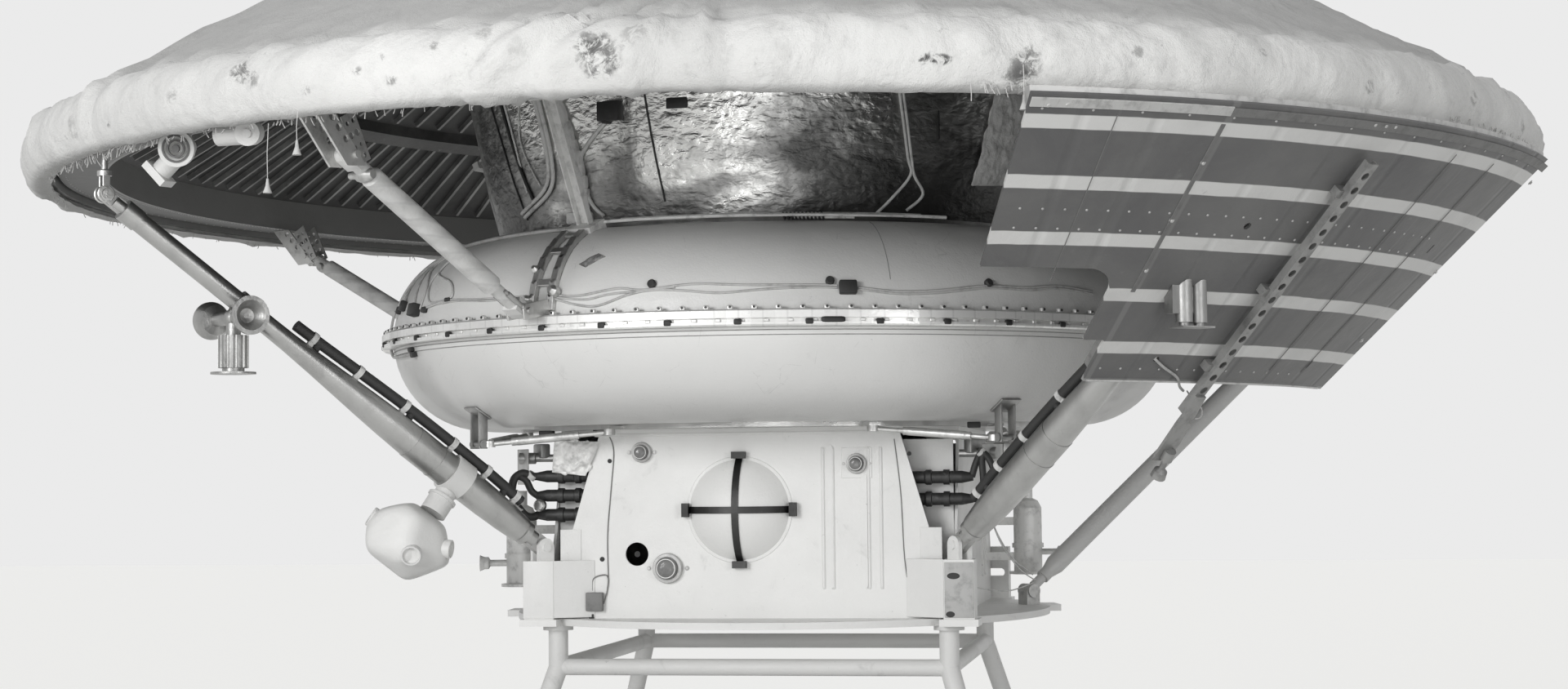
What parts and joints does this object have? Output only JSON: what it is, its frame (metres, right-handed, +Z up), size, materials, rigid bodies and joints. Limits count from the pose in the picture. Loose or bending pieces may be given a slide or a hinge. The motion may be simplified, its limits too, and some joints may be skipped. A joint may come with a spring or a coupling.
{
  "type": "mars entry lander on ground stand",
  "caption": "Mars entry lander: cloth covered conical aeroshell over a foil capsule, white parachute ring, strut truss and instrument box, on a white tube stand.",
  "frame": {"origin": "on the floor under the vehicle's axis, at the centre of the four stand feet", "axes": "+Z up along the vehicle's axis; the front face of the instrument box faces -Y"},
  "size_m": [3.2, 3.1996, 2.7455],
  "materials": {
    "cover_cloth": "quilted white blanket cloth, stained and frayed",
    "foil": "crinkled metallised foil",
    "white_paint": "matte white thermal paint, rubbed and stained",
    "stand_paint": "chipped white paint on steel tube",
    "polished_metal": "polished, brushed along its length",
    "bare_alloy": "bare alloy, dulled",
    "band_metal": "bare alloy band, dulled",
    "dark_metal": "dark oxidised steel",
    "dark_structure": "dark riveted structure",
    "wrap_tape": "white cloth tape wound round the tube",
    "panel_skin": "dark grey paint with white stripes",
    "black_rubber": "black cable jacket",
    "sensor_white": "smooth white paint"
  },
  "bodies": {
    "root": {"stand_frame": "stand_paint", "stand_feet": "stand_paint", "base_plate": "white_paint", "front_panel": "white_paint", "right_panel": "white_paint", "rear_panel": "white_paint", "left_panel": "white_paint", "instrument_container": "bare_alloy", "box_lid": "white_paint", "sphere_tanks": "white_paint", "tank_straps": "dark_metal", "corner_fittings": "white_paint", "polished_strut_135": "polished_metal", "polished_strut_225": "polished_metal", "polished_strut_315": "polished_metal", "thin_struts": "white_paint", "eye_rods": "dark_metal", "chute_ring_upper": "white_paint", "chute_ring_lower": "white_paint", "clamp_band": "band_metal", "ring_cradle": "bare_alloy", "capsule_seat": "bare_alloy", "motor_case": "dark_metal", "capsule_cover": "foil", "aeroshell": "dark_structure", "aeroshell_cover": "cover_cloth", "shell_outer_ring": "dark_structure", "shell_mid_ring": "dark_structure", "shell_stringers": "dark_structure", "upper_struts": "wrap_tape", "upper_strut_heads": "dark_metal", "upper_strut_feet": "dark_metal", "striped_panel": "panel_skin", "panel_frame": "bare_alloy", "panel_flange": "bare_alloy", "aeroshell_nose": "dark_structure", "ring_brackets": "white_paint", "turnbuckles": "polished_metal", "strut_cable_trunks": "black_rubber", "sensor_neck": "sensor_white", "sensor_head": "sensor_white", "strut_horns": "bare_alloy", "rim_jets": "bare_alloy", "ring_posts": "bare_alloy", "corner_plugs": "black_rubber", "valve_bottles": "white_paint", "thin_strut_feet": "bare_alloy", "perforated_beam": "bare_alloy", "panel_thrusters": "white_paint"}
  },
  "joints": []
}
